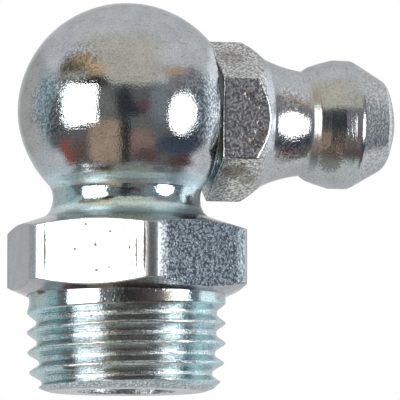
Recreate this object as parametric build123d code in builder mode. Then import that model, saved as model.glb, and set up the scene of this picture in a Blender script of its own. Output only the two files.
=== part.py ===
# Elbow grease nipple: a hexagon body with a ball on its neck, and a head screwed into the side of the ball.
# Millimetres. The origin is on the thread's axis, in the plane where the hexagon seats on the housing.
# +Z points from the thread to the ball, and +X points along the head to its tip.
import os
from math import cos, radians, sin, sqrt, tan

from build123d import *

os.makedirs("parts", exist_ok=True)

# threaded shank, M10 x 1 (the plain cylinder over the thread's crests)
thread_radius = 4.95
thread_length = 4.8
lead_length = 0.72  # the first turns are cut back to a cone
lead_edge_radius = 4.34
lead_edge_length = 0.15  # flatter chamfer at the very end
lead_nose_radius = 3.9

# hexagon of the body, turned to a shallow cone at both ends
hexagon_flat_radius = 5.5
hexagon_corner_rounding = 0.6
hexagon_top = 3.42  # where the upper cone crosses the middle of a flat
hexagon_top_angle = 18.5
hexagon_seat_radius = 5.1
hexagon_seat_angle = 24
bar_radius = 6.5  # turned blank, wider than the hexagon's corners

# ball and neck
ball_radius = 5.45
ball_height = 9.2
neck_radius = 3.58
neck_height = 4.7
neck_foot_radius = 4.19
neck_top_angle = 45  # below the ball's middle

# grease way through the body: a wide outlet in the shank, and a narrower bore up into the ball
outlet_radius = 2.35
outlet_depth = 5.8
outlet_mouth_radius = 2.45
outlet_mouth_length = 0.6
grease_bore_radius = 1.5
drill_point_angle = 59  # from the drill's axis

# head, with its lengths measured along its own axis from the thread's axis
head_height = 8.85
tail_start = 1.2
tail_radius = 2.5
tail_chamfer = 0.25
relief_start = 3.3
relief_radius = 2.15
seat_start = 3.85
shoulder_radius = 3.0
collar_start = 4.12
collar_end = 6.55  # where the chamfer crosses the middle of a flat
collar_flat_radius = 3.5
collar_blank_radius = 4.2
collar_corner_rounding = 0.12
collar_chamfer_angle = 38  # from the head's axis
collar_turn = 3  # how far past square the head stopped when it was screwed in
waist_start = 7.0
waist_start_radius = 3.2
waist_bottom = 8.97
waist_bottom_radius = 2.61
waist_rounding = 0.15
flank_knee = 9.5  # a steep cone ends here, and a gentler one goes on to the band
flank_knee_radius = 2.91
flank_knee_rounding = 1.0
band_start = 10.6
band_end = 11.46
band_radius = 3.25
band_edge_chamfer = 0.12
nose_angle = 30  # from the head's axis
nose_end = 13.22  # from here a flatter cone closes the nose
tip_radius = 1.2
tip_end = 13.6

# valve in the head
mouth_radius = 0.75
mouth_length = 0.3
chamber_radius = 1.5
lip_radius = 0.9
lip_thickness = 0.4
valve_ball_radius = 1.2
spring_radius = 1.15
wire_radius = 0.14
active_turns = 5
wire_sides = 6  # the wire is drawn six-sided, to keep its coils light
closed_turn_length = 0.3

# clearances and cutter sizes
tapped_hole_clearance = 0.02
valve_gap = 0.02
spot_face_radius = 4.3
cutter_overrun = 3

# derived places
slope = tan(radians(hexagon_top_angle))
bar_lower_edge = (bar_radius - hexagon_seat_radius) * tan(radians(hexagon_seat_angle))
bar_upper_edge = hexagon_top - (bar_radius - hexagon_flat_radius) * slope
upper_cone_apex = hexagon_top + hexagon_flat_radius * slope
neck_foot = (neck_foot_radius, upper_cone_apex - neck_foot_radius * slope)
neck_top = radians(neck_top_angle)
outlet_top = outlet_depth - thread_length
outlet_point = outlet_top + (outlet_radius - grease_bore_radius) / tan(radians(drill_point_angle))
drilled_top = head_height + grease_bore_radius
chamfer_slope = tan(radians(collar_chamfer_angle))
chamfer_start = collar_end - (collar_blank_radius - collar_flat_radius) / chamfer_slope
chamfer_end = collar_end + (collar_flat_radius - waist_start_radius) / chamfer_slope
nose_end_radius = band_radius - (nose_end - band_end) * tan(radians(nose_angle))
mouth_start = tip_end - mouth_length
ball_seat_start = mouth_start - (chamber_radius - mouth_radius)  # the seat is a 45 degree cone
valve_ball_centre = mouth_start + mouth_radius - sqrt(2) * (valve_ball_radius + valve_gap)
spring_start = tail_start + lip_thickness + wire_radius + valve_gap
spring_to_ball = sqrt((valve_ball_radius + wire_radius + valve_gap) ** 2 - spring_radius ** 2)
spring_end = valve_ball_centre - spring_to_ball

# planes and axes
head_side = Plane(origin=(0, 0, head_height), x_dir=(1, 0, 0), z_dir=(0, -1, 0))
head_axis = Axis((0, 0, head_height), (1, 0, 0))


def across_head(distance):
    """The plane across the head's axis at this distance from the thread's axis."""
    return Plane(origin=(distance, 0, head_height), x_dir=(0, 1, 0), z_dir=(1, 0, 0))


# body: turned from hexagon bar, then spot faced, tapped and drilled
with BuildPart() as elbow_body:
    with BuildSketch(Plane.XZ):
        with BuildLine():
            Polyline(
                (0, ball_height + ball_radius),
                (0, -thread_length),
                (lead_nose_radius, -thread_length),
                (lead_edge_radius, lead_edge_length - thread_length),
                (thread_radius, lead_length - thread_length),
                (thread_radius, 0),
                (hexagon_seat_radius, 0),
                (bar_radius, bar_lower_edge),
                (bar_radius, bar_upper_edge),
                neck_foot,
            )
            ball_outline = CenterArc((0, ball_height), ball_radius, -neck_top_angle, 90 + neck_top_angle)
            Spline(
                neck_foot,
                (neck_radius, neck_height),
                ball_outline @ 0,
                tangents=[(-1, slope), (sin(neck_top), cos(neck_top))],
            )
        make_face()
    revolve(axis=Axis.Z)

    with BuildSketch(Plane.XY.offset(-thread_length)) as hexagon_bar:
        RegularPolygon(hexagon_flat_radius, 6, major_radius=False, rotation=30)
        fillet(hexagon_bar.vertices(), hexagon_corner_rounding)
    extrude(amount=thread_length + ball_height + ball_radius, mode=Mode.INTERSECT)

    with BuildSketch(across_head(seat_start)):
        Circle(spot_face_radius)
    extrude(amount=cutter_overrun, mode=Mode.SUBTRACT)

    with BuildSketch(across_head(tail_start)):
        Circle(tail_radius + tapped_hole_clearance)
    extrude(amount=seat_start - tail_start, mode=Mode.SUBTRACT)

    with BuildSketch(across_head(0)):
        Circle(grease_bore_radius)
    extrude(amount=tail_start, mode=Mode.SUBTRACT)

    with BuildSketch(Plane.XZ):
        with BuildLine():
            Polyline(
                (0, -thread_length),
                (outlet_mouth_radius, -thread_length),
                (outlet_radius, outlet_mouth_length - thread_length),
                (outlet_radius, outlet_top),
                (grease_bore_radius, outlet_point),
                (grease_bore_radius, drilled_top),
                (0, drilled_top + grease_bore_radius / tan(radians(drill_point_angle))),
                close=True,
            )
        make_face()
    revolve(axis=Axis.Z, mode=Mode.SUBTRACT)

# head: turned from smaller hexagon bar, with the valve's chamber drilled from its tail
with BuildPart() as nipple_head:
    with BuildSketch(head_side) as head_profile:
        with BuildLine():
            Polyline(
                (tail_start, 0),
                (tail_start, tail_radius - tail_chamfer),
                (tail_start + tail_chamfer, tail_radius),
                (relief_start, tail_radius),
                (relief_start, relief_radius),
                (seat_start, relief_radius),
                (seat_start, shoulder_radius),
                (collar_start, shoulder_radius),
                (collar_start, collar_blank_radius),
                (chamfer_start, collar_blank_radius),
                (chamfer_end, waist_start_radius),
                (waist_start, waist_start_radius),
                (waist_bottom, waist_bottom_radius),
                (flank_knee, flank_knee_radius),
                (band_start, band_radius),
                (band_end, band_radius),
                (nose_end, nose_end_radius),
                (tip_end, tip_radius),
                (tip_end, 0),
                close=True,
            )
        make_face()
        for place, rounding in ((waist_bottom, waist_rounding), (flank_knee, flank_knee_rounding)):
            corner = head_profile.vertices().filter_by_position(Axis.X, place - 0.01, place + 0.01)
            fillet(corner, rounding)
        band_corners = head_profile.vertices().filter_by_position(Axis.Y, band_radius, band_radius)
        chamfer(band_corners, band_edge_chamfer)
    revolve(axis=head_axis)

    with BuildSketch(across_head(tail_start)) as collar_bar:
        RegularPolygon(collar_flat_radius, 6, major_radius=False, rotation=30 + collar_turn)
        fillet(collar_bar.vertices(), collar_corner_rounding)
    extrude(amount=tip_end - tail_start, mode=Mode.INTERSECT)

    with BuildSketch(head_side):
        with BuildLine():
            Polyline(
                (tail_start, 0),
                (tail_start, lip_radius),
                (tail_start + lip_thickness, lip_radius),
                (tail_start + lip_thickness, chamber_radius),
                (ball_seat_start, chamber_radius),
                (mouth_start, mouth_radius),
                (tip_end, mouth_radius),
                (tip_end, 0),
                close=True,
            )
        make_face()
    revolve(axis=head_axis, mode=Mode.SUBTRACT)

# check ball, held against its seat by the spring
with BuildPart() as check_ball:
    with Locations((valve_ball_centre, 0, head_height)):
        Sphere(valve_ball_radius)

# spring: open turns between a closed turn at each end
with BuildPart() as valve_spring:
    active_length = spring_end - spring_start - 2 * closed_turn_length
    stretches = [
        (spring_start, closed_turn_length, 1),
        (spring_start + closed_turn_length, active_length, active_turns),
        (spring_end - closed_turn_length, closed_turn_length, 1),
    ]
    for start, length, turns in stretches:
        with BuildLine() as coil:
            Helix(length / turns, length, spring_radius, center=(start, 0, head_height), direction=(1, 0, 0))
        with BuildSketch(Plane(origin=coil.line @ 0, z_dir=coil.line % 0)):
            RegularPolygon(wire_radius, wire_sides)
        sweep(path=coil.line, is_frenet=True)

pieces = {
    "elbow_body": elbow_body,
    "nipple_head": nipple_head,
    "check_ball": check_ball,
    "valve_spring": valve_spring,
}
for name, piece in pieces.items():
    piece.part.label = name
    export_step(piece.part, f"parts/{name}.step")
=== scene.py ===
# Elbow grease nipple with a ball body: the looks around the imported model.
# Sizes are in millimetres unless a note says otherwise, and the meshes are written in metres.
import math
from collections import namedtuple

import bmesh
import bpy
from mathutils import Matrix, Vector


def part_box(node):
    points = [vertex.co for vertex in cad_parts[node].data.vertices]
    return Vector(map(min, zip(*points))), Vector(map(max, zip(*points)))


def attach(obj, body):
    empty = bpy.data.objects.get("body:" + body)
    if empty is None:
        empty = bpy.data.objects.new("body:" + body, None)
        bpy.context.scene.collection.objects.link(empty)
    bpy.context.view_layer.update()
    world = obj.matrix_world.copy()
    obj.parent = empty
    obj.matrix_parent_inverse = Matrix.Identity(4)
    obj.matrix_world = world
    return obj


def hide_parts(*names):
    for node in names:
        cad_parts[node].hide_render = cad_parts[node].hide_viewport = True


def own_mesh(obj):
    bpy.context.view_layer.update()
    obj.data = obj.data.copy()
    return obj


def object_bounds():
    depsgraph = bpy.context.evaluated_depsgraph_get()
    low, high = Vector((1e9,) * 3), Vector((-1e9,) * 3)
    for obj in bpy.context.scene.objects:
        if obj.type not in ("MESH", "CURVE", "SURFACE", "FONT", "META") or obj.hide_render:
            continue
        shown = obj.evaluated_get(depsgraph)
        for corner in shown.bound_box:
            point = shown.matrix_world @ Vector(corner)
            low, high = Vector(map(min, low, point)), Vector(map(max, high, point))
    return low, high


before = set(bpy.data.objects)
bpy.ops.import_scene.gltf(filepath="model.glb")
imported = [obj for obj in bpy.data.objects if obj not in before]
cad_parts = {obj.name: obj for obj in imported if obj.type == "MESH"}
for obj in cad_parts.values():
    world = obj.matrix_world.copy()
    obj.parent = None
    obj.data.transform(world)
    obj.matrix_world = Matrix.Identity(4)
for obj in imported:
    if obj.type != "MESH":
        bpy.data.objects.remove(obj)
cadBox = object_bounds()
mm = 0.001
scene = bpy.context.scene
scene.view_settings.view_transform = "Standard"

headLow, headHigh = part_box("nipple_head")
ballLow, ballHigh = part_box("check_ball")
springLow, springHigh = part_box("valve_spring")
headHeight = (headLow.z + headHigh.z) / 2 / mm  # of the head's axis
columns = 192  # round every turned piece
columnStep = math.tau / columns
weldDistance = 2e-7  # in metres; points closer than this become one
sharpAngle = math.radians(40)  # steeper edges between faces stay sharp


class Wire:
    # a socket of a node tree that takes part in plain arithmetic
    def __init__(self, tree, socket=None):
        self.tree = tree
        self.socket = socket

    def node(self, kind, settings=None, sockets=None, output=0):
        # any node: its settings are set first, then the values or links of its sockets
        made = self.tree.nodes.new(kind)
        for name, value in (settings or {}).items():
            setattr(made, name, value)
        for name, value in (sockets or {}).items():
            if isinstance(value, Wire):
                self.tree.links.new(value.socket, made.inputs[name])
            else:
                made.inputs[name].default_value = value
        return Wire(self.tree, made.outputs[output]) if made.outputs else Wire(self.tree)

    def maths(self, operation, *others):
        return self.node("ShaderNodeMath", {"operation": operation}, dict(enumerate((self, *others))))

    def __add__(self, other):
        return self.maths("ADD", other)

    def __sub__(self, other):
        return self.maths("SUBTRACT", other)

    def __mul__(self, other):
        return self.maths("MULTIPLY", other)

    def __truediv__(self, other):
        return self.maths("DIVIDE", other)

    def __rsub__(self, other):
        return self.node("ShaderNodeMath", {"operation": "SUBTRACT"}, {0: other, 1: self})

    def __rtruediv__(self, other):
        return self.node("ShaderNodeMath", {"operation": "DIVIDE"}, {0: other, 1: self})

    __radd__ = __add__
    __rmul__ = __mul__

    def vector(self, operation, other=None, output="Vector"):
        sockets = {0: self}
        if other is not None:
            sockets["Scale" if operation == "SCALE" else 1] = other
        return self.node("ShaderNodeVectorMath", {"operation": operation}, sockets, output)

    def length(self):
        return self.vector("LENGTH", output="Value")

    def dot(self, direction):
        return self.vector("DOT_PRODUCT", tuple(direction), "Value")

    def combine(self, x, y, z=0):
        return self.node("ShaderNodeCombineXYZ", None, {"X": x, "Y": y, "Z": z})

    def part(self, axis):
        return self.node("ShaderNodeSeparateXYZ", None, {"Vector": self}, axis)

    def fade(self, low, high):
        # 0 below low, 1 above high and smooth between
        ends = {"Value": self, "From Min": low, "From Max": high}
        return self.node("ShaderNodeMapRange", {"interpolation_type": "SMOOTHSTEP"}, ends)

    def fadeOut(self, low, high):
        return 1 - self.fade(low, high)

    def between(self, start, full, last, end):
        # rises from start to full, and falls from last to end
        return self.fade(start, full) * self.fadeOut(last, end)


def slope(angle):
    return math.tan(math.radians(angle))


def linked(name, data):
    # a new object, in the scene
    made = bpy.data.objects.new(name, data)
    scene.collection.objects.link(made)
    return made


def newMaterial(name):
    material = bpy.data.materials.new(name)
    material.use_nodes = True
    material.node_tree.nodes.clear()
    return material, Wire(material.node_tree)


def inMillimetres(wire):
    place = wire.node("ShaderNodeTexCoord", output="Object")
    return place.vector("MULTIPLY", (1 / mm, 1 / mm, 1 / mm))


def noise(place, stretch, detail, offset=(0, 0, 0)):
    moved = place.node("ShaderNodeMapping", None, {"Vector": place, "Scale": stretch, "Location": offset})
    return place.node("ShaderNodeTexNoise", None, {"Vector": moved, "Scale": 1, "Detail": detail})


def blendColours(factor, first, second):
    # sockets 6 and 7 of a Mix node are its two colours
    ends = {0: factor, 6: first, 7: second}
    for key in (6, 7):
        if not isinstance(ends[key], Wire):
            ends[key] = (*ends[key], 1)
    return factor.node("ShaderNodeMix", {"data_type": "RGBA"}, ends, 2)


cameraView = {
    "azimuth": -14.0,
    "elevation": -5.5,
    "distance": 235.0,
    "target": (3.56, -0.89, 4.78),
    "fieldWidth": 19.97,  # across the frame, at the target
}


def lookFrom(azimuth, elevation):
    # from the part towards the eye, with azimuth 0 looking along +Y
    a, e = math.radians(azimuth), math.radians(elevation)
    return Vector((math.sin(a) * math.cos(e), -math.cos(a) * math.cos(e), math.sin(e)))


def eyePlace(view):
    back = lookFrom(view["azimuth"], view["elevation"])
    return (Vector(view["target"]) + back * view["distance"]) * mm


def makeCamera(view):
    camera = bpy.data.cameras.new("camera")
    camera.sensor_width = 36
    camera.lens = camera.sensor_width * view["distance"] / view["fieldWidth"]
    camera.clip_start = 0.01
    camera.clip_end = 20
    holder = linked("camera", camera)
    holder.location = eyePlace(view)
    ahead = -lookFrom(view["azimuth"], view["elevation"])
    holder.rotation_euler = ahead.to_track_quat("-Z", "Y").to_euler()
    scene.camera = holder


studio = {
    "centre": (3.5, 0.0, 5.0),  # what the lamps face
    "lamps": [
        # name, azimuth, elevation, distance, width, height, shape, radiance, seen in metal
        ("window_left", -64.3, 2.2, 300, 200, 212, "RECTANGLE", 5.5, True),
        ("window_right", 48.6, -5.8, 300, 158, 204, "ELLIPSE", 7.0, True),
        ("softbox_top", 60.0, 80.0, 500, 320, 320, "RECTANGLE", 3.4, False),
    ],
    "ambient": 0.55,
    "floorColour": (0.86, 0.86, 0.85),
    "floorSize": 4.0,  # in metres
    "floorGap": 0.01,  # under the thread's end
}


def makeLamp(name, azimuth, elevation, distance, width, height, shape, radiance, inMetal):
    lamp = bpy.data.lights.new(name, "AREA")
    lamp.shape = shape
    lamp.size, lamp.size_y = width * mm, height * mm
    area = lamp.size * lamp.size_y * (math.pi / 4 if shape == "ELLIPSE" else 1)
    lamp.energy = radiance * math.pi * area
    holder = linked(name, lamp)
    back = lookFrom(azimuth, elevation)
    holder.location = (Vector(studio["centre"]) + back * distance) * mm
    holder.rotation_euler = back.to_track_quat("Z", "Y").to_euler()
    holder.visible_camera = False
    holder.visible_glossy = inMetal


def makeFloor():
    # pale floor under the thread's end; seen from below it lets the eye through
    half = studio["floorSize"] / 2
    height = cadBox[0].z - studio["floorGap"] * mm
    mesh = bpy.data.meshes.new("floor")
    corners = [(-half, -half), (half, -half), (half, half), (-half, half)]
    mesh.from_pydata([(x, y, height) for x, y in corners], [], [(0, 1, 2, 3)])
    material, wire = newMaterial("floor")
    pale = wire.node("ShaderNodeBsdfDiffuse", None, {"Color": (*studio["floorColour"], 1)})
    clear = wire.node("ShaderNodeBsdfTransparent")
    fromBelow = wire.node("ShaderNodeNewGeometry", output="Backfacing")
    seen = wire.node("ShaderNodeLightPath", output="Is Camera Ray")
    mixed = wire.node("ShaderNodeMixShader", None, {0: fromBelow * seen, 1: pale, 2: clear})
    wire.node("ShaderNodeOutputMaterial", None, {"Surface": mixed})
    mesh.materials.append(material)
    floor = linked("floor", mesh)
    floor.visible_glossy = False


def makeWorld():
    # dim light on the part, and plain white where the eye or polished metal sees past it
    world = bpy.data.worlds.new("studio")
    world.use_nodes = True
    world.node_tree.nodes.clear()
    scene.world = world
    wire = Wire(world.node_tree)
    kinds = ("Camera", "Glossy", "Transmission")
    camera, glossy, through = [wire.node("ShaderNodeLightPath", output=f"Is {kind} Ray") for kind in kinds]
    background = camera.maths("MAXIMUM", glossy).maths("MAXIMUM", through)
    dim = wire.node("ShaderNodeBackground", None, {"Color": (1, 1, 1, 1), "Strength": studio["ambient"]})
    white = wire.node("ShaderNodeBackground", None, {"Color": (1, 1, 1, 1), "Strength": 1})
    mixed = wire.node("ShaderNodeMixShader", None, {0: background, 1: dim, 2: white})
    wire.node("ShaderNodeOutputWorld", None, {"Surface": mixed})


# The room that polished metal sees, laid out as a mirror ball in place of the body's own would show it.
# The patches' places and sizes are shares of that ball's radius, seen from the camera.
room = {
    "centre": (0, 0, 9.2),
    "radius": 600.0,
    "open": (0.82, 0.83, 0.855),  # where the pale backdrop shows
    "rim": (-0.95, -0.85),  # straight behind the ball, where the open colour takes over
    "rimGuard": 0.02,  # keeps the layout from tearing there
    "grain": (9, 9, 9),
    "flicker": 0.4,  # of the brightness, with the grain
    "wobbleGrain": (14, 14, 14),
    "wobble": 0.07,  # how far the patches' edges wander
    "patches": [
        # across, up, half width, half height, shape, softness, colour
        (-1.00, 0.05, 0.27, 0.90, "BLOCK", 0.12, (0.64, 0.64, 0.63)),
        (-0.06, 0.45, 0.36, 0.25, "BLOCK", 0.30, (0.74, 0.72, 0.62)),
        (-0.70, 0.02, 0.10, 0.32, "OVAL", 0.35, (0.42, 0.55, 0.58)),
        (0.825, 0.00, 0.10, 0.62, "BLOCK", 0.15, (1.30, 1.36, 1.42)),
        (0.97, 0.00, 0.09, 0.85, "BLOCK", 0.20, (0.80, 0.82, 0.84)),
        (0.00, -0.72, 0.36, 0.13, "BLOCK", 0.35, (0.74, 0.78, 0.76)),
        (0.02, -0.60, 0.30, 0.07, "BLOCK", 0.25, (0.74, 0.84, 0.80)),
        (0.40, -0.57, 0.11, 0.05, "BLOCK", 0.30, (0.20, 0.18, 0.16)),
        (0.010, -0.14, 0.710, 0.395, "BLOCK", 0.05, (0.19, 0.195, 0.20)),
        (0.67, 0.00, 0.05, 0.28, "BLOCK", 0.20, (0.22, 0.26, 0.30)),
        (-0.71, -0.53, 0.20, 0.17, "OVAL", 0.12, (0.74, 0.79, 0.82)),
        (0.74, -0.54, 0.20, 0.22, "OVAL", 0.12, (0.84, 0.87, 0.90)),
        (-0.41, 0.34, 0.20, 0.19, "OVAL", 0.10, (0.22, 0.19, 0.14)),
        (-0.39, 0.48, 0.10, 0.04, "OVAL", 0.45, (0.70, 0.48, 0.26)),
        (-0.28, 0.41, 0.10, 0.06, "OVAL", 0.45, (0.82, 0.60, 0.38)),
        (-0.46, 0.335, 0.11, 0.016, "BLOCK", 0.40, (0.85, 0.85, 0.78)),
        (-0.28, 0.27, 0.13, 0.045, "BLOCK", 0.30, (0.05, 0.045, 0.04)),
        (0.53, 0.27, 0.17, 0.14, "OVAL", 0.16, (0.34, 0.34, 0.36)),
        (0.44, 0.37, 0.12, 0.04, "OVAL", 0.50, (0.66, 0.49, 0.38)),
        (-0.17, 0.08, 0.11, 0.13, "BLOCK", 0.30, (0.24, 0.25, 0.24)),
        (0.30, 0.05, 0.09, 0.20, "BLOCK", 0.30, (0.29, 0.31, 0.35)),
        (-0.02, 0.07, 0.08, 0.17, "OVAL", 0.40, (0.05, 0.06, 0.065)),
        (0.08, 0.01, 0.06, 0.06, "OVAL", 0.40, (0.05, 0.05, 0.07)),
        (0.15, 0.04, 0.045, 0.06, "OVAL", 0.5, (0.18, 0.10, 0.12)),
        (0.18, -0.11, 0.09, 0.06, "BLOCK", 0.30, (0.22, 0.22, 0.21)),
        (-0.19, -0.29, 0.145, 0.20, "BLOCK", 0.10, (0.54, 0.41, 0.31)),
        (0.14, -0.31, 0.12, 0.125, "OVAL", 0.16, (0.36, 0.25, 0.22)),
        (0.19, -0.42, 0.12, 0.06, "OVAL", 0.30, (0.18, 0.11, 0.11)),
        (-0.010, -0.30, 0.046, 0.22, "BLOCK", 0.25, (0.045, 0.05, 0.045)),
        (0.47, -0.32, 0.21, 0.09, "OVAL", 0.30, (0.08, 0.10, 0.145)),
        (0.48, -0.47, 0.12, 0.055, "OVAL", 0.30, (0.16, 0.09, 0.08)),
        (-0.42, -0.37, 0.07, 0.10, "BLOCK", 0.30, (0.20, 0.14, 0.12)),
        (-0.55, -0.34, 0.032, 0.07, "OVAL", 0.45, (0.50, 0.12, 0.08)),
        (-0.51, -0.45, 0.035, 0.06, "OVAL", 0.45, (0.44, 0.11, 0.08)),
    ],
}


def roomColour(spot):
    # the patches lie over one another in the order of their list
    colour = room["open"]
    for x, y, halfWidth, halfHeight, shape, soft, tint in room["patches"]:
        offCentre = spot.vector("SUBTRACT", (x, y, 0)).vector("MULTIPLY", (1 / halfWidth, 1 / halfHeight, 0))
        reach = offCentre.length()
        if shape == "BLOCK":
            reach = offCentre.vector("MULTIPLY", offCentre).length().maths("SQRT")
        colour = blendColours(reach.fadeOut(1 - soft, 1 + soft), colour, tint)
    return colour


def roomGlow(centre):
    towards = (eyePlace(cameraView) - centre).normalized()
    right = Vector((0, 0, 1)).cross(towards).normalized()
    above = towards.cross(right)
    material, wire = newMaterial("room")
    place = wire.node("ShaderNodeTexCoord", output="Object")
    direction = place.vector("SUBTRACT", tuple(centre)).vector("NORMALIZE")
    facing = direction.dot(towards)
    spread = (2 + room["rimGuard"] + 2 * facing).maths("SQRT")
    across, upward = direction.dot(right) / spread, direction.dot(above) / spread
    spot = wire.combine(across, upward)
    grain = noise(spot, room["grain"], detail=3.0)
    wobble = noise(spot, room["wobbleGrain"], detail=2.0, offset=(5, 2, 0))
    across = across + room["wobble"] * (wobble - 0.5)
    upward = upward + room["wobble"] * (grain - 0.5)
    colour = roomColour(wire.combine(across, upward))
    colour = blendColours(facing.fadeOut(*room["rim"]), colour, room["open"])
    strength = 1 - room["flicker"] / 2 + room["flicker"] * grain
    glow = wire.node("ShaderNodeEmission", None, {"Color": colour, "Strength": strength})
    wire.node("ShaderNodeOutputMaterial", None, {"Surface": glow})
    return material


def makeRoom():
    # a dome that only polished metal sees
    centre = Vector(room["centre"]) * mm
    mesh = bmesh.new()
    bmesh.ops.create_uvsphere(mesh, u_segments=48, v_segments=24, radius=room["radius"] * mm)
    bmesh.ops.translate(mesh, verts=mesh.verts, vec=centre)
    data = bpy.data.meshes.new("room")
    mesh.to_mesh(data)
    mesh.free()
    data.materials.append(roomGlow(centre))
    dome = linked("room", data)
    dome.visible_camera = False
    dome.visible_diffuse = False
    dome.visible_shadow = False


makeCamera(cameraView)
for lamp in studio["lamps"]:
    makeLamp(*lamp)
makeRoom()
makeFloor()
makeWorld()
print("studio ready")


zincLook = {
    "pale": (0.51, 0.52, 0.53),
    "dull": (0.45, 0.465, 0.475),  # in broad clouds
    "cloudFade": (0.35, 0.7),
    "teal": (0.50, 0.66, 0.68),  # where the passivation shows, and as a painted reflection at the shank's sides
    "tealFade": (0.2, 0.45),  # it is thinner between the clouds
    "dash": (0.30, 0.31, 0.32),  # short dark strokes round the turned axis
    "dashFade": (0.61, 0.69),
    "dashStrength": 0.6,
    # dark brown of the stains, also used for painted shade and a painted dark reflection
    "stainAndShade": (0.13, 0.10, 0.075),
    "stainAndShadeEdge": (0.55, 1.05),
    "stainAndShadeRagged": 1.5,
    "stainAndShadeDepth": 0.009,
    "pitTint": (0.37, 0.425, 0.465),  # pitted skin shows mostly by its colour, for its slopes are shallow
    "pitStrength": 0.8,
    "pitFade": (0.36, 0.66),
    "pitShade": 1.25,  # how much lighter and darker the pitted grain is
    "pits": 0.0026,
    "mottle": 0.9,  # how much lighter and darker the fine speckle is
    "speckle": 0.0055,
    "marks": 0.0035,  # turning marks
    "satinMarks": 3.0,  # how much stronger they are in the satin rings
    "ripple": 0.006,
    "groove": 0.03,  # tool marks along the thread's flanks
    "satinShine": 0.35,
    "threadShine": 0.08,
    "edgeTint": (0.75, 0.75, 0.75),
    "roughness": 0.05,
    "haze": 0.05,  # added where the grain is coarse, and most in the clouds
    "hazeFade": (0.42, 0.66),
    "hazeLeast": 0.4,
    "satin": 0.27,  # added in the turned rings beside the neck
    "pitted": 0.11,  # added on the pitted flats
    "worn": 0.27,  # added on the bar's rounded corners
    "stainedAndShaded": 0.25,
    "threaded": 0.02,
}
headLook = {
    **zincLook,
    "pitTint": (0.52, 0.515, 0.50),
    "pitShade": 0.9,
    "pits": 0.0038,
    "satinShine": 0,
    "roughness": 0.10,
}
zincPatterns = {
    # repeats per millimetre across the turned axis and along it, detail, offset
    "marks": (0.8, 10.0, 3.0, (0, 0, 0)),
    "ripple": (0.5, 0.5, 1.0, (0, 0, 0)),
    "speckle": (12.0, 12.0, 2.0, (0, 0, 0)),
    "pits": (8.0, 8.0, 2.0, (4, 4, 1)),
    "clouds": (0.9, 0.9, 4.0, (3, 1, 7)),
    "grooves": (0.3, 26.0, 2.0, (1, 7, 3)),
    "dashes": (1.8, 8.0, 2.0, (8, 2, 4)),
    "ragged": (9.0, 9.0, 2.0, (2, 5, 1)),
}


def metalShader(wire, colour, rough, height, edgeTint=(1, 1, 1)):
    bump = wire.node("ShaderNodeBump", None, {"Height": height, "Strength": 1, "Distance": mm})
    sockets = {
        "Base Color": colour,
        "Metallic": 1,
        "Specular Tint": (*edgeTint, 1),
        "Roughness": rough,
        "Normal": bump,
    }
    shader = wire.node("ShaderNodeBsdfPrincipled", None, sockets)
    wire.node("ShaderNodeOutputMaterial", None, {"Surface": shader})


def areasOver(place, areas, edge, ragged=0):
    # how much the soft-edged areas cover
    cover = None
    for centre, radii, strength in areas:
        stretch = tuple(1 / radius for radius in radii)
        reach = place.vector("SUBTRACT", centre).vector("MULTIPLY", stretch).length()
        mask = (reach + ragged).fadeOut(*edge) * strength
        cover = mask if cover is None else cover.maths("MAXIMUM", mask)
    return cover


def zincFinish(name, look, turnedAlong, regions, stainsAndShade):
    material, wire = newMaterial(name)
    place = inMillimetres(wire)
    teal, pitted, satin, threaded, worn = regions(place)
    pattern = {}
    for kind, (across, along, detail, offset) in zincPatterns.items():
        stretch = (along, across, across) if turnedAlong == "X" else (across, across, along)
        pattern[kind] = noise(place, stretch, detail, offset)
    marks, speckle, clouds = pattern["marks"], pattern["speckle"], pattern["clouds"]
    pits = pattern["pits"].fade(*look["pitFade"])
    dash = pattern["dashes"].fade(*look["dashFade"]) * (1 - pitted)
    # real stains, dents and scratches, together with painted shade and a painted dark reflection, from the
    # listed areas
    stainAndShade = areasOver(place, stainsAndShade, look["stainAndShadeEdge"], (pattern["ragged"] - 0.5) * look["stainAndShadeRagged"])

    height = pattern["ripple"] * look["ripple"] * (1 - pitted)
    height = height + marks * look["marks"] * (1 - pitted + look["satinMarks"] * satin)
    height = height + speckle * look["speckle"] * (1 + threaded) + pits * pitted * look["pits"]
    height = height + pattern["grooves"] * threaded * look["groove"] - stainAndShade * look["stainAndShadeDepth"]

    colour = blendColours(clouds.fade(*look["cloudFade"]), look["pale"], look["dull"])
    # teal passivation, and the painted teal reflection at the shank's sides
    colour = blendColours(teal * clouds.fade(*look["tealFade"]), colour, look["teal"])
    colour = blendColours(dash * look["dashStrength"], colour, look["dash"])
    colour = blendColours(pitted * look["pitStrength"], colour, look["pitTint"])
    shade = 1 + look["mottle"] * (1 + threaded) * (speckle - 0.5) + pitted * (pits - 0.5) * look["pitShade"]
    shade = shade * (1 + look["satinShine"] * satin + look["threadShine"] * threaded)
    # these areas darken to the stain's brown, painted shade among them
    colour = blendColours(stainAndShade, colour.vector("SCALE", shade), look["stainAndShade"])

    grain = (speckle * 0.5 + marks * 0.5).fade(*look["hazeFade"])
    haze = grain * (look["hazeLeast"] + (1 - look["hazeLeast"]) * clouds)
    rough = look["roughness"] + look["haze"] * haze + look["pitted"] * pitted + look["satin"] * satin
    rough = rough + look["worn"] * worn + look["stainedAndShaded"] * stainAndShade + look["threaded"] * threaded
    metalShader(wire, colour, rough, height, look["edgeTint"])
    return material


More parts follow.
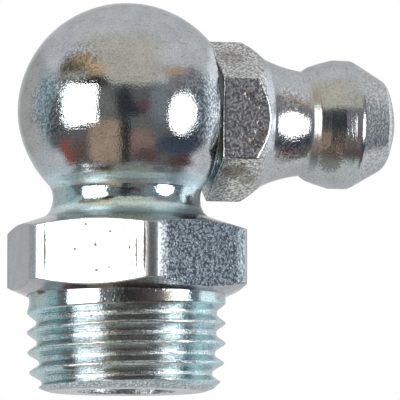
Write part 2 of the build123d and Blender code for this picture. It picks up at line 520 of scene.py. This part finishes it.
patchEdge = (0.6, 1.1)  # shares of a patch's radius over which it fades
bodyZones = {
    # heights where a finish starts, is full, is still full and ends
    "bar": (0.0, 0.25, 3.25, 3.5),
    "neck": (3.6, 4.4, 5.5, 6.3),
    "upperRing": (5.22, 5.30, 5.75, 5.95),
    "lowerRing": (3.75, 3.85, 4.25, 4.45),
    # heights where it fades in or out
    "ball": (6.0, 6.5),
    "shank": (-0.4, 0.1),
    "threaded": (-1.1, -0.8),
    "chamfer": (-4.7, -4.5),
    "end": (-4.78, -4.65),
    # distances from the axis where it fades in
    "pittedFlats": (5.43, 5.49),
    "wornCorners": (5.95, 6.1),
    "paintedTealSides": (1.5, 4.5),
}
bodyShares = {
    # strengths, and the facings of the thread's sides and of the pitted flats
    "neckTeal": 0.7,
    "frontTeal": 0.2,  # in full at the sides
    "pittedChamfer": 0.6,
    "lowerRing": 1.2,
    "sideways": (0.97, -0.24, 0),
    "pittedFacing": (-0.5, 0.866, 0),
}
bodyPatches = [
    # patches of pitted skin on the ball, as (place, radii, strength)
    ((2.9, -4.7, 8.9), (2.1, 2.1, 2.1), 0.8),
    ((-4.6, -3.1, 9.0), (1.9, 1.9, 1.9), 0.7),
    ((-3.2, -3.8, 11.2), (1.3, 1.3, 1.3), 0.5),
]
bodyStainsAndShade = [
    # dents and edge lines of the bar, a stain under it at the left, a painted dark reflection on the shank's
    # front under it, stains on the thread, then scratches on the ball
    ((-3.09, -4.57, 3.11), (0.07, 0.07, 0.06), 1.0),
    ((-2.03, -5.18, 2.73), (0.10, 0.10, 0.05), 1.0),
    ((-2.65, -4.82, 2.11), (0.08, 0.08, 0.10), 1.0),
    ((-3.57, -4.29, 1.89), (0.06, 0.06, 0.06), 1.0),
    ((-1.15, -5.69, 1.93), (0.06, 0.06, 0.08), 1.0),
    ((-2.60, -4.85, 0.84), (0.10, 0.10, 0.05), 1.0),
    ((-2.07, -5.16, 0.97), (0.05, 0.05, 0.05), 1.0),
    ((-4.91, -3.52, 2.0), (0.05, 0.05, 1.3), 0.93),
    ((-0.49, -6.07, 2.0), (0.06, 0.06, 1.4), 0.95),
    ((-0.85, -5.86, 1.6), (0.05, 0.05, 0.9), 0.80),
    ((-4.70, -1.60, -0.05), (0.35, 0.45, 0.12), 0.8),
    # painted dark reflection of the room, between the lamps' reflections on the shank's front
    ((0.05, -4.95, -0.45), (2.2, 1.0, 0.65), 0.75),
    ((-3.55, -3.11, -3.85), (0.50, 0.45, 0.10), 0.9),
    ((-2.90, -3.90, -2.90), (0.60, 0.45, 0.05), 0.5),
    ((2.60, -5.00, 10.9), (0.30, 0.30, 0.02), 0.7),
    ((1.90, -4.20, 12.2), (0.30, 0.30, 0.02), 0.6),
]


def bodyRegions(place):
    zones, shares = bodyZones, bodyShares
    height = place.part("Z")
    fromAxis = place.vector("MULTIPLY", (1, 1, 0)).length()
    # the passivation shows on the neck and faintly on the shank; the full teal at the shank's left and right
    # sides, as the camera sees them, is a painted reflection
    sides = place.dot(shares["sideways"]).maths("ABSOLUTE").fade(*zones["paintedTealSides"])
    shank = height.fadeOut(*zones["shank"]) * height.fade(*zones["end"])
    shank = shank * (shares["frontTeal"] + (1 - shares["frontTeal"]) * sides)
    teal = height.between(*zones["neck"]) * shares["neckTeal"] + shank
    # one pair of flats has kept the bar's pitted skin; the reach falls off at the rounded corners
    onBar = height.between(*zones["bar"])
    pairReach = place.dot(shares["pittedFacing"]).maths("ABSOLUTE")
    flats = onBar * pairReach.fade(*zones["pittedFlats"])
    patches = areasOver(place, bodyPatches, patchEdge) * height.fade(*zones["ball"])
    chamfer = height.fadeOut(*zones["chamfer"]) * shares["pittedChamfer"]
    pitted = flats.maths("MAXIMUM", patches) + chamfer
    lowerRing = height.between(*zones["lowerRing"]) * shares["lowerRing"]
    satin = height.between(*zones["upperRing"]) + lowerRing
    threaded = height.fadeOut(*zones["threaded"])
    worn = onBar * fromAxis.fade(*zones["wornCorners"])
    return teal, pitted, satin, threaded, worn


headZones = {
    # places along the head, as the body's heights
    "flankRing": (8.85, 8.95, 9.3, 9.45),
    "band": (9.45, 9.6, 11.3, 11.5),
    "shoulder": (4.3, 5.0),
    "collar": (6.2, 6.6),
    "nose": (11.5, 11.7),
    "collarFlats": (3.35, 3.45),  # distances from the head's axis
}
headShares = {
    "shoulderTeal": 0.6,
    "pittedCollar": 1.1,
    "pittedNose": 0.6,
    "flankRing": 0.7,
    "band": 0.2,
}
headPatches = [
    ((7.9, -3.0, 9.9), (0.9, 0.9, 0.9), 0.8),
    ((7.9, -2.6, 7.2), (1.0, 1.0, 1.0), 0.9),
]
headStainsAndShade = [
    # stains on the collar, a dark line at its lower edge, painted shade in the crease beside the ball, a
    # spot and scratches, painted shade on the collar's top and under it, and painted shade on the cone's
    # underside
    ((6.05, -3.50, 7.85), (0.34, 0.4, 0.32), 0.75),
    ((5.65, -3.50, 7.50), (0.26, 0.3, 0.16), 0.7),
    ((5.95, -3.50, 8.40), (0.12, 0.2, 0.14), 0.7),
    ((5.45, -3.55, 9.80), (0.28, 0.3, 0.26), 0.75),
    ((5.20, -3.40, 6.68), (1.00, 0.3, 0.06), 0.6),
    # painted shade in the crease between the collar and the ball
    ((4.20, -3.45, 8.80), (0.06, 0.3, 1.80), 0.4),
    ((5.25, -2.94, 6.42), (0.20, 0.2, 0.12), 0.7),
    ((4.85, -1.52, 12.04), (0.45, 0.3, 0.04), 0.6),
    ((5.35, -1.97, 11.74), (0.30, 0.3, 0.03), 0.5),
    # painted shade: the collar's top and its underside darker
    ((4.90, -1.75, 11.90), (0.90, 1.4, 0.55), 0.40),
    ((5.00, -2.30, 6.10), (0.90, 1.1, 0.45), 0.60),
    ((5.80, -1.90, 5.75), (0.60, 0.9, 0.35), 0.45),
    # painted shade on the cone's underside
    ((9.90, -2.30, 6.75), (0.70, 0.9, 0.85), 0.62),
]


def headRegions(place):
    zones, shares = headZones, headShares
    along = place.part("X")
    fromAxis = place.vector("SUBTRACT", (0, 0, headHeight)).vector("MULTIPLY", (0, 1, 1)).length()
    teal = along.fadeOut(*zones["shoulder"]) * shares["shoulderTeal"]
    flats = along.fadeOut(*zones["collar"]) * fromAxis.fade(*zones["collarFlats"])
    pitted = flats * shares["pittedCollar"] + along.fade(*zones["nose"]) * shares["pittedNose"]
    pitted = pitted.maths("MAXIMUM", areasOver(place, headPatches, patchEdge))
    satin = along.between(*zones["flankRing"]) * shares["flankRing"]
    satin = satin + along.between(*zones["band"]) * shares["band"]
    return teal, pitted, satin, 0, 0  # no thread and no worn corners


ballLook = {
    "colour": (0.62, 0.63, 0.64),
    "darkest": 0.8,  # share of the colour between its fine lines
    "roughness": 0.05,
    "rougher": 0.08,  # added there
    "grain": (6, 6, 6),  # repeats per millimetre
    "grainFade": (0.3, 0.7),
    "depth": 0.0003,
}
springLook = {
    **ballLook,
    "colour": (0.42, 0.42, 0.43),
    "roughness": 0.22,
    "grain": (3, 12, 12),
    "depth": 0.002,
}


def steelFinish(name, look):
    material, wire = newMaterial(name)
    lines = noise(inMillimetres(wire), look["grain"], detail=3.0)
    darker = tuple(look["darkest"] * channel for channel in look["colour"])
    shade = blendColours(lines.fade(*look["grainFade"]), look["colour"], darker)
    metalShader(wire, shade, look["roughness"] + look["rougher"] * lines, lines * look["depth"])
    return material


bodyZinc = zincFinish("body_zinc", zincLook, "Z", bodyRegions, bodyStainsAndShade)
headZinc = zincFinish("head_zinc", headLook, "X", headRegions, headStainsAndShade)
ballSteel = steelFinish("ball_steel", ballLook)
springSteel = steelFinish("spring_steel", springLook)
print("finishes ready")


# One corner of an outline: its place across and along the axis, its rounding, the rows of faces to the
# next corner, and how evenly its columns are spread (0 follows the hexagon bar, 1 is round).
Corner = namedtuple("Corner", "across along rounding rows even", defaults=(0, 1, 1))
roundingSteps = {
    "small": 4,
    "large": 16,
    "largeFrom": 0.3,  # rounding in millimetres
    "longestReach": 0.45,  # of the edges beside the corner
}


def roundedCorner(before, spot, after, rounding):
    # the points of a small arc that takes the corner's place
    if rounding == 0:
        return [spot]
    back, ahead = before - spot, after - spot
    half = back.angle(ahead) / 2
    longest = roundingSteps["longestReach"] * min(back.length, ahead.length)
    reach = min(rounding / math.tan(half), longest)
    back.normalize()
    ahead.normalize()
    centre = spot + (back + ahead).normalized() * reach / math.cos(half)
    start, end = spot + back * reach - centre, spot + ahead * reach - centre
    turn = math.pi - 2 * half
    steps = roundingSteps["small" if rounding < roundingSteps["largeFrom"] else "large"]
    points = []
    for step in range(steps + 1):
        share = step / steps
        swung = start * math.sin((1 - share) * turn) + end * math.sin(share * turn)
        points.append(centre + swung / math.sin(turn))
    return points


def softOutline(corners):
    # the corners' arcs and the rows between them, as (across, along, evenness)
    spots = [Vector((corner.across, corner.along)) for corner in corners]
    followers = spots[1:] + spots[:1]
    arcs = []
    for k, corner in enumerate(corners):
        arcs.append(roundedCorner(spots[k - 1], spots[k], followers[k], corner.rounding))
    outline = []
    for k, corner in enumerate(corners):
        outline += [(point.x, point.y, corner.even) for point in arcs[k]]
        if k + 1 == len(corners):
            break
        change = corners[k + 1].even - corner.even
        for row in range(1, corner.rows):
            share = (1 - math.cos(math.pi * row / corner.rows)) / 2  # closer rows beside the corners
            point = arcs[k][-1].lerp(arcs[k + 1][0], share)
            outline.append((point.x, point.y, corner.even + change * share))
    return outline


def heading(angle):
    return Vector((math.cos(angle), math.sin(angle)))


def hollowCorners(start, radius, fromAngle, toAngle, rows):
    # along a hollow arc, from one facing of its surface to another: 0 is square out, 90 along the axis
    centre = Vector((start.across, start.along)) + heading(math.radians(fromAngle)) * radius
    corners = []
    for row in range(rows + 1):
        angle = math.radians(fromAngle + (toAngle - fromAngle) * row / rows)
        corners.append(Corner(*(centre - heading(angle) * radius)))
    return corners


def barColumns(flatRadius, rounding, cornerSteps, turn):
    # (angle, radius) round a hexagon bar, column by column, and the first column's even angle
    sixth = math.tau / 6
    flatSteps = columns // 6 - cornerSteps
    arcCentre = (flatRadius - rounding) / math.cos(sixth / 2)
    found = []
    for side in range(6):
        edge = turn + sixth * (side - 0.5)
        centre, nextCentre = heading(edge) * arcCentre, heading(edge + sixth) * arcCentre
        bend = [edge + sixth * (step / cornerSteps - 0.5) for step in range(cornerSteps + 1)]
        spots = [centre + heading(angle) * rounding for angle in bend]
        end = nextCentre + heading(bend[-1]) * rounding
        spots += [spots[-1].lerp(end, step / flatSteps) for step in range(1, flatSteps)]
        found += [(math.atan2(spot.y, spot.x), spot.length) for spot in spots]
    firstEven = turn - sixth / 2 - cornerSteps / 2 * columnStep
    return found, firstEven


def turnedRings(bar, firstEven, outlineAt, place):
    # every column has its own outline; the columns even out where the outline is round
    rings = []
    for k, (angle, radius) in enumerate(bar):
        even = firstEven + k * columnStep
        lag = (angle - even + math.pi) % math.tau - math.pi
        outline = outlineAt(radius)
        if not rings:
            rings = [[] for row in outline]
        for ring, (across, along, evenness) in zip(rings, outline):
            ring.append(place(across, along, even + lag * (1 - evenness)))
    return rings


def uprightPlace(across, along, angle):
    return (across * math.cos(angle), across * math.sin(angle), along)


def headPlace(across, along, angle):
    return (along, across * math.cos(angle), headHeight + across * math.sin(angle))


def skin(mesh, rings, closed=False):
    # joins the rings row by row
    rows = [[mesh.verts.new(Vector(point) * mm) for point in ring] for ring in rings]
    upper = rows[1:] + rows[:1] if closed else rows[1:]
    for low, high in zip(rows, upper):
        for k in range(columns):
            j = (k + 1) % columns
            mesh.faces.new((low[k], low[j], high[j], high[k]))


def finishMesh(name, mesh, material):
    bmesh.ops.remove_doubles(mesh, verts=mesh.verts, dist=weldDistance)
    bmesh.ops.recalc_face_normals(mesh, faces=mesh.faces)
    data = bpy.data.meshes.new(name)
    mesh.to_mesh(data)
    mesh.free()
    data.materials.append(material)
    data.shade_smooth()
    data.set_sharp_from_angle(angle=sharpAngle)
    return linked(name, data)


def baked(piece):
    # the evaluated mesh takes the place of the object's own mesh and modifiers
    graph = bpy.context.evaluated_depsgraph_get()
    data = bpy.data.meshes.new_from_object(piece.evaluated_get(graph))
    piece.modifiers.clear()
    piece.data = data
    return piece


def newTree(name, sizes):
    # a geometry node tree with an input for each size
    tree = bpy.data.node_groups.new(name, "GeometryNodeTree")
    tree.interface.new_socket(name="Geometry", in_out="OUTPUT", socket_type="NodeSocketGeometry")
    for size in sizes:
        tree.interface.new_socket(name=size, in_out="INPUT", socket_type="NodeSocketFloat")
    wire = Wire(tree)
    return tree, wire, {size: wire.node("NodeGroupInput", output=size) for size in sizes}


def endTree(wire, shape, material):
    real = wire.node("GeometryNodeRealizeInstances", None, {"Geometry": shape})
    painted = wire.node("GeometryNodeSetMaterial", None, {"Geometry": real, "Material": material})
    wire.node("NodeGroupOutput", None, {"Geometry": painted})


def treePiece(name, tree, sizes):
    # an empty mesh filled by a geometry node tree
    piece = linked(name, bpy.data.meshes.new(name))
    modifier = piece.modifiers.new(name, "NODES")
    modifier.node_group = tree
    for item in tree.interface.items_tree:
        if item.item_type == "SOCKET" and item.in_out == "INPUT":
            modifier[item.identifier] = sizes[item.name]
    return baked(piece)


threadSizes = {
    "Pitch": 1.0 * mm,
    "Crest Radius": 4.95 * mm,
    "Depth": 0.40 * mm,
    "Deeper Downwards": 0.035,  # for each length along the axis
    "Crest Width": 0.10,  # shares of half a pitch
    "Flank Width": 0.66,
    "Crest Rounding": 0.20,  # shares of the depth
    "Root Rounding": 0.35,
    "Bottom": -4.8 * mm,
    "Top": -0.04 * mm,
    "Full Depth Below": -0.65 * mm,  # of the groove's own root
    "Plain Above": -0.25 * mm,
    "Worn Below": -2.6 * mm,
    "Wear": 0.10,  # for each length along the axis
    "Lead Radius": 3.9 * mm,  # at the very end, where a steep nose starts
    "Lead Slope": 2.933,
    "Lead Edge": 4.34 * mm,  # where the chamfer over the first turns starts
    "Chamfer Slope": 1.07,
    "Nose Rounding": 0.1 * mm,
    "Chamfer Rounding": 0.03 * mm,
    "Crest Height": -3.35 * mm,  # of the crest that crosses the +X side
}
threadTurns = 7
threadRows = 24  # along one pitch
rootsBelow = 2.5  # turns from that crest down to the first root, under the end face


def threadTree():
    # a strip whose rows run along the helix, from one root to the next
    tree, wire, sizes = newTree("thread", threadSizes)
    counts = {"Vertices X": threadTurns * columns + 1, "Vertices Y": threadRows + 1}
    grid = wire.node("GeometryNodeMeshGrid", None, {"Size X": 1, "Size Y": 1, **counts})
    spot = wire.node("GeometryNodeInputPosition")
    turned = (spot.part("X") + 0.5) * threadTurns  # the grid is centred and 1 wide
    across = spot.part("Y") + 0.5
    pitch, crestHeight = sizes["Pitch"], sizes["Crest Height"]
    height = crestHeight - pitch * rootsBelow + pitch * (turned + across)
    height = height.maths("MAXIMUM", sizes["Bottom"]).maths("MINIMUM", sizes["Top"])
    phase = (height - crestHeight) / pitch - turned
    fromCrest = (phase - phase.maths("ROUND")).maths("ABSOLUTE") * 2
    flank = (fromCrest - sizes["Crest Width"]) / sizes["Flank Width"]
    flank = flank.maths("SMOOTH_MIN", 1.0, sizes["Root Rounding"])
    flank = flank.maths("SMOOTH_MAX", 0.0, sizes["Crest Rounding"])
    root = crestHeight + pitch * (turned + phase.maths("FLOOR") + 0.5)
    cutIn = root.fadeOut(sizes["Full Depth Below"], sizes["Plain Above"])
    depth = sizes["Depth"] - sizes["Deeper Downwards"] * height
    worn = sizes["Wear"] * (sizes["Worn Below"] - height).maths("MAXIMUM", 0)
    radius = sizes["Crest Radius"] - worn - depth * flank * cutIn
    # the first turns are cut back to the chamfer and the nose
    fromEnd = height - sizes["Bottom"]
    nose = sizes["Lead Radius"] + fromEnd * sizes["Lead Slope"]
    noseTop = (sizes["Lead Edge"] - sizes["Lead Radius"]) / sizes["Lead Slope"]
    chamfer = sizes["Lead Edge"] + (fromEnd - noseTop) * sizes["Chamfer Slope"]
    lead = nose.maths("SMOOTH_MIN", chamfer, sizes["Nose Rounding"])
    radius = radius.maths("SMOOTH_MIN", lead, sizes["Chamfer Rounding"])
    angle = turned * math.tau
    place = wire.combine(angle.maths("COSINE") * radius, angle.maths("SINE") * radius, height)
    moved = wire.node("GeometryNodeSetPosition", None, {"Geometry": grid, "Position": place})
    merged = wire.node("GeometryNodeMergeByDistance", None, {"Geometry": moved, "Distance": weldDistance})
    endTree(wire, merged, bodyZinc)
    return tree


bodySizes = {
    "flatRadius": 5.5,
    "cornerRounding": 0.9,
    "cornerSteps": 8,
    "edgeRounding": 0.07,
    "top": 3.42,  # where the upper cone crosses the middle of a flat
    "topAngle": 18.5,
    "seatRadius": 5.1,
    "seatAngle": 24,
    "neckFrom": -43.5,  # the ball's last facing, in degrees
    "neckHollows": [(0.9, -18), (1.3, 0), (1.6, 20)],  # radius and last facing; the foot's radius follows
    "neckRows": 8,  # in each hollow
    "footRows": 10,
    "ballHeight": 9.2,
    "ballRadius": 5.45,
    "ballRows": 84,
    "lowerLift": 0.15,  # the ball's lower part is an arc centred this much higher
    "liftFrom": 20,  # facing where the lift starts, in degrees
    "liftSpan": 50,
    "outletRadius": 2.35,
    "outletMouth": 2.45,
    "outletMouthLength": 0.6,
    "outletTop": 1.0,
    "outletPoint": 1.51,
    "boreRadius": 1.5,
    "boreTop": 10.35,
    "drillTip": 11.25,
}
spotFace = {
    "seat": 3.85,  # distances from the thread's axis, along the head
    "radius": 4.3,
    "overrun": 3.0,
    "holeRadius": 2.52,
    "holeStart": 1.2,
    "wayRadius": 1.45,
    "wayStart": -0.2,
}


def ballCorners():
    # from the neck up to the top
    s = bodySizes
    corners = []
    for row in range(s["ballRows"] + 1):
        facing = s["neckFrom"] + (90 - s["neckFrom"]) * row / s["ballRows"]
        share = min(max((s["liftFrom"] - facing) / s["liftSpan"], 0), 1)
        height = s["ballHeight"] + s["lowerLift"] * share * share * (3 - 2 * share)
        spot = heading(math.radians(facing)) * s["ballRadius"]
        corners.append(Corner(spot.x, height + spot.y))
    return corners


def neckCorners(start):
    # from the ball down to the cone; the foot's radius is the one that meets the cone
    s = bodySizes
    topSlope = slope(s["topAngle"])
    corners, facing = [start], s["neckFrom"]
    for radius, nextFacing in s["neckHollows"]:
        corners += hollowCorners(corners[-1], radius, facing, nextFacing, s["neckRows"])[1:]
        facing = nextFacing
    turn, foot = math.radians(facing), math.radians(s["topAngle"])
    drop = corners[-1].along - s["top"] - (s["flatRadius"] - corners[-1].across) * topSlope
    width = math.cos(turn) - math.sin(foot)
    footRadius = drop / (math.cos(foot) - math.sin(turn) - topSlope * width)
    corners += hollowCorners(corners[-1], footRadius, facing, 90 - s["topAngle"], s["footRows"])[1:]
    return corners


def makeCutter():
    # what the spot face and the hole for the head take out of the ball
    s = spotFace
    end = s["seat"] + s["overrun"]
    outline = softOutline(
        [
            Corner(0, s["wayStart"]),
            Corner(s["wayRadius"], s["wayStart"], rows=2),
            Corner(s["wayRadius"], s["holeStart"]),
            Corner(s["holeRadius"], s["holeStart"], rows=3),
            Corner(s["holeRadius"], s["seat"]),
            Corner(s["radius"], s["seat"]),
            Corner(s["radius"], end),
            Corner(0, end),
        ]
    )
    even = [(k * columnStep, 1) for k in range(columns)]
    mesh = bmesh.new()
    skin(mesh, turnedRings(even, 0, lambda radius: outline, headPlace))
    return finishMesh("cutter", mesh, bodyZinc)


def makeBody():
    s = bodySizes
    crest, shankTop = threadSizes["Crest Radius"] / mm, threadSizes["Top"] / mm
    bottom, lead = threadSizes["Bottom"] / mm, threadSizes["Lead Radius"] / mm
    topSlope, seatSlope = slope(s["topAngle"]), slope(s["seatAngle"])
    ball = ballCorners()
    neck = neckCorners(ball[0])
    # grease bore from its drilled end down, then the end face out to the thread
    inside = softOutline(
        [
            Corner(0, s["drillTip"], rows=3),
            Corner(s["boreRadius"], s["boreTop"], rows=24),
            Corner(s["boreRadius"], s["outletPoint"], rounding=0.05, rows=3),
            Corner(s["outletRadius"], s["outletTop"], rounding=0.05, rows=16),
            Corner(s["outletRadius"], bottom + s["outletMouthLength"], rounding=0.3, rows=3),
            Corner(s["outletMouth"], bottom, rounding=0.08, rows=5),
            Corner(lead, bottom),
        ]
    )

    def outside(radius):
        # plain ring over the thread, seat, bar, upper cone, neck and ball
        seatEdge = (radius - s["seatRadius"]) * seatSlope
        topEdge = s["top"] + (s["flatRadius"] - radius) * topSlope
        return softOutline(
            [
                Corner(crest, shankTop, rows=3),
                Corner(crest, 0, rounding=0.06, rows=3),
                Corner(s["seatRadius"], 0, rounding=0.03, rows=6),
                Corner(radius, seatEdge, rounding=s["edgeRounding"], rows=14, even=0),
                Corner(radius, topEdge, rounding=s["edgeRounding"], rows=10, even=0),
                *neck[:0:-1],
                *ball,
            ]
        )

    bar, firstEven = barColumns(s["flatRadius"], s["cornerRounding"], s["cornerSteps"], 0)
    mesh = bmesh.new()
    skin(mesh, turnedRings(bar, firstEven, lambda radius: inside, uprightPlace))
    skin(mesh, turnedRings(bar, firstEven, outside, uprightPlace))
    thread = treePiece("thread", threadTree(), threadSizes)
    mesh.from_mesh(thread.data)
    bpy.data.objects.remove(thread)
    body = finishMesh("elbow", mesh, bodyZinc)
    cutter = makeCutter()
    cut = body.modifiers.new("cut", "BOOLEAN")
    cut.operation, cut.solver, cut.object = "DIFFERENCE", "EXACT", cutter
    baked(body)
    bpy.data.objects.remove(cutter)
    return body


body = makeBody()
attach(body, "nipple")
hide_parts("elbow_body")
print("elbow body ready", len(body.data.polygons), "faces")


headSizes = {
    "tailStart": 1.2,
    "tailRadius": 2.5,
    "tailChamfer": 0.25,
    "reliefStart": 3.3,
    "reliefRadius": 2.15,
    "seat": 3.85,
    "shoulderRadius": 3.0,
    "collarStart": 4.12,
    "collarEnd": 6.55,  # where the chamfer crosses the middle of a flat
    "collarFlatRadius": 3.5,
    "collarRounding": 0.12,
    "collarCornerSteps": 4,
    "collarAngle": 38,  # of the chamfer
    "collarTurn": 3,  # how far past square the head stopped
    "waistStart": 6.87,
    "waistHollow": 6.52,
    "waistFrom": 26,  # the waist's first and last facing, in degrees
    "waistTo": 6.5,
    "waistRows": 12,
    "knee": 9.37,
    "kneeRadius": 2.89,
    "flank": 9.82,
    "flankRadius": 3.045,
    "bandStart": 10.5,
    "bandEnd": 11.46,
    "bandRadius": 3.25,
    "bandRounding": 0.8,
    "bandDip": 0.01,  # it starts this much lower
    "ridges": 9,
    "ridgeRows": 6,  # in each ridge
    "ridgeDepth": 0.0075,
    "ridgeMargins": (0.05, 0.32),  # plain stretches before and after them
    "ridgeDrift": (0.12, 9),  # how far they stray from even places, in ridges, and how often
    "ridgeStrength": (0.34, 0.36, 0.06, 17),  # of the depth: first, gained, uneven, and how often
    "noseAngle": 30,
    "noseEnd": 13.22,
    "noseRounding": 0.8,
    "tip": 13.6,
    "tipRadius": 1.2,
    "tipRounding": 0.25,
    "mouthRadius": 0.75,
    "mouthLength": 0.3,
    "chamberRadius": 1.5,
    "lipRadius": 0.9,
    "lipThickness": 0.4,
    "chamferEdgeRounding": 0.24,
}


def ridgeCorners():
    # fine turned ridges round the band, uneven in place and depth
    s = headSizes
    start, end = s["bandStart"] + s["ridgeMargins"][0], s["bandEnd"] - s["ridgeMargins"][1]
    rows = s["ridges"] * s["ridgeRows"]
    drift, driftWave = s["ridgeDrift"]
    first, gained, uneven, unevenWave = s["ridgeStrength"]
    corners = []
    for row in range(rows + 1):
        share = row / rows
        phase = s["ridges"] * share + drift * math.sin(driftWave * share)
        strength = first + gained * share + uneven * math.sin(unevenWave * share)
        dip = s["ridgeDepth"] * strength * (1 - math.cos(math.tau * phase)) / 2
        corners.append(Corner(s["bandRadius"] - dip, start + (end - start) * share))
    return corners


def makeHead():
    s = headSizes
    collarSlope, noseSlope = slope(s["collarAngle"]), slope(s["noseAngle"])
    waistRadius = s["collarFlatRadius"] - (s["waistStart"] - s["collarEnd"]) * collarSlope
    waistTop = Corner(waistRadius, s["waistStart"])
    waist = hollowCorners(waistTop, s["waistHollow"], s["waistFrom"], s["waistTo"], s["waistRows"])
    ridges = ridgeCorners()
    noseEdge = s["bandRadius"] - (s["noseEnd"] - s["bandEnd"]) * noseSlope
    mouthStart = s["tip"] - s["mouthLength"]
    ballSeatStart = mouthStart - (s["chamberRadius"] - s["mouthRadius"])
    lipEnd = s["tailStart"] + s["lipThickness"]

    def outline(radius):
        # outside from the tail to the tip, then back through the mouth and the valve's chamber
        chamferEdge = s["collarEnd"] - (radius - s["collarFlatRadius"]) / collarSlope
        return softOutline(
            [
                Corner(s["lipRadius"], s["tailStart"], rows=3),
                Corner(s["tailRadius"] - s["tailChamfer"], s["tailStart"], rounding=0.03),
                Corner(s["tailRadius"], s["tailStart"] + s["tailChamfer"], rounding=0.03, rows=4),
                Corner(s["tailRadius"], s["reliefStart"], rounding=0.03),
                Corner(s["reliefRadius"], s["reliefStart"], rounding=0.05, rows=2),
                Corner(s["reliefRadius"], s["seat"], rounding=0.05, rows=2),
                Corner(s["shoulderRadius"], s["seat"], rounding=0.02, rows=2),
                Corner(s["shoulderRadius"], s["collarStart"], rounding=0.03, rows=4),
                Corner(radius, s["collarStart"], rounding=0.1, rows=12, even=0),
                Corner(radius, chamferEdge, rounding=s["chamferEdgeRounding"], rows=5, even=0),
                *waist[:-1],
                waist[-1]._replace(rounding=0.12, rows=5),
                Corner(s["kneeRadius"], s["knee"], rounding=0.35, rows=5),
                Corner(s["flankRadius"], s["flank"], rounding=0.8, rows=6),
                Corner(s["bandRadius"] - s["bandDip"], s["bandStart"], rounding=0.4),
                *ridges,
                Corner(s["bandRadius"], s["bandEnd"], rounding=s["bandRounding"], rows=12),
                Corner(noseEdge, s["noseEnd"], rounding=s["noseRounding"], rows=4),
                Corner(s["tipRadius"], s["tip"], rounding=s["tipRounding"], rows=4),
                Corner(s["mouthRadius"], s["tip"], rounding=0.05, rows=2),
                Corner(s["mouthRadius"], mouthStart, rounding=0.02, rows=3),
                Corner(s["chamberRadius"], ballSeatStart, rounding=0.05, rows=20),
                Corner(s["chamberRadius"], lipEnd, rounding=0.05, rows=2),
                Corner(s["lipRadius"], lipEnd, rounding=0.03, rows=2),
            ]
        )

    turn = math.radians(s["collarTurn"])
    bar, firstEven = barColumns(s["collarFlatRadius"], s["collarRounding"], s["collarCornerSteps"], turn)
    mesh = bmesh.new()
    skin(mesh, turnedRings(bar, firstEven, outline, headPlace), closed=True)
    return finishMesh("head", mesh, headZinc)


head = makeHead()
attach(head, "nipple")
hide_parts("nipple_head")
print("head ready", len(head.data.polygons), "faces")


ballSizes = {
    "radius": (ballHigh.z - ballLow.z) / 2 / mm,
    "rows": 96,
    "seatAngle": 45,  # where the ball meets its seat, from the head's axis
    "seatWidth": 2,
    "seatWear": 0.004,
}


def makeBall():
    s = ballSizes
    centre = (ballLow + ballHigh) / 2 / mm
    rings = []
    for row in range(s["rows"] + 1):
        angle = math.pi * row / s["rows"]
        offSeat = (math.degrees(math.pi - angle) - s["seatAngle"]) / s["seatWidth"]
        radius = s["radius"] - s["seatWear"] * math.exp(-(offSeat ** 2))
        across, along = radius * math.sin(angle), centre.x - radius * math.cos(angle)
        rings.append([headPlace(across, along, k * columnStep) for k in range(columns)])
    mesh = bmesh.new()
    skin(mesh, rings)
    return finishMesh("ball", mesh, ballSteel)


ball = makeBall()
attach(ball, "ball")
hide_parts("check_ball")
print("ball ready", len(ball.data.polygons), "faces")


wireRadius = 0.14 * mm
springSizes = {
    "Wire Radius": wireRadius,
    "Coil Radius": 1.15 * mm,
    "Start": springLow.x + wireRadius,  # middle of the first turn's wire
    "End": springHigh.x - wireRadius,
    "Axis Height": headHeight * mm,
    "Open Turns": 5.0,
    "Closed Length": 0.3 * mm,  # of the turn at each end
}
springTurns = round(springSizes["Open Turns"]) + 2
stepsPerTurn = 40
wireSides = 14


def springTree():
    # one closed turn at each end, and open turns between
    tree, wire, sizes = newTree("spring", springSizes)
    line = wire.node("GeometryNodeCurvePrimitiveLine")
    count = springTurns * stepsPerTurn + 1
    points = wire.node("GeometryNodeResampleCurve", None, {"Curve": line, "Count": count})
    turned = wire.node("GeometryNodeSplineParameter", output="Factor") * springTurns
    openTurns, closedLength = sizes["Open Turns"], sizes["Closed Length"]
    openLength = sizes["End"] - sizes["Start"] - 2 * closedLength
    first = turned.maths("MINIMUM", 1)
    last = (turned - openTurns - 1).maths("MAXIMUM", 0)
    middle = turned - first - last
    along = sizes["Start"] + (first + last) * closedLength + middle / openTurns * openLength
    angle = turned * math.tau
    y = angle.maths("COSINE") * sizes["Coil Radius"]
    z = angle.maths("SINE") * sizes["Coil Radius"] + sizes["Axis Height"]
    place = wire.combine(along, y, z)
    coil = wire.node("GeometryNodeSetPosition", None, {"Geometry": points, "Position": place})
    circle = {"Resolution": wireSides, "Radius": sizes["Wire Radius"]}
    section = wire.node("GeometryNodeCurvePrimitiveCircle", None, circle)
    ends = {"Curve": coil, "Profile Curve": section, "Fill Caps": True}
    endTree(wire, wire.node("GeometryNodeCurveToMesh", None, ends), springSteel)
    return tree


spring = treePiece("spring", springTree(), springSizes)
spring.data.shade_smooth()
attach(spring, "nipple")
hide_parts("valve_spring")
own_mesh(spring)
print("spring ready", len(spring.data.polygons), "faces")
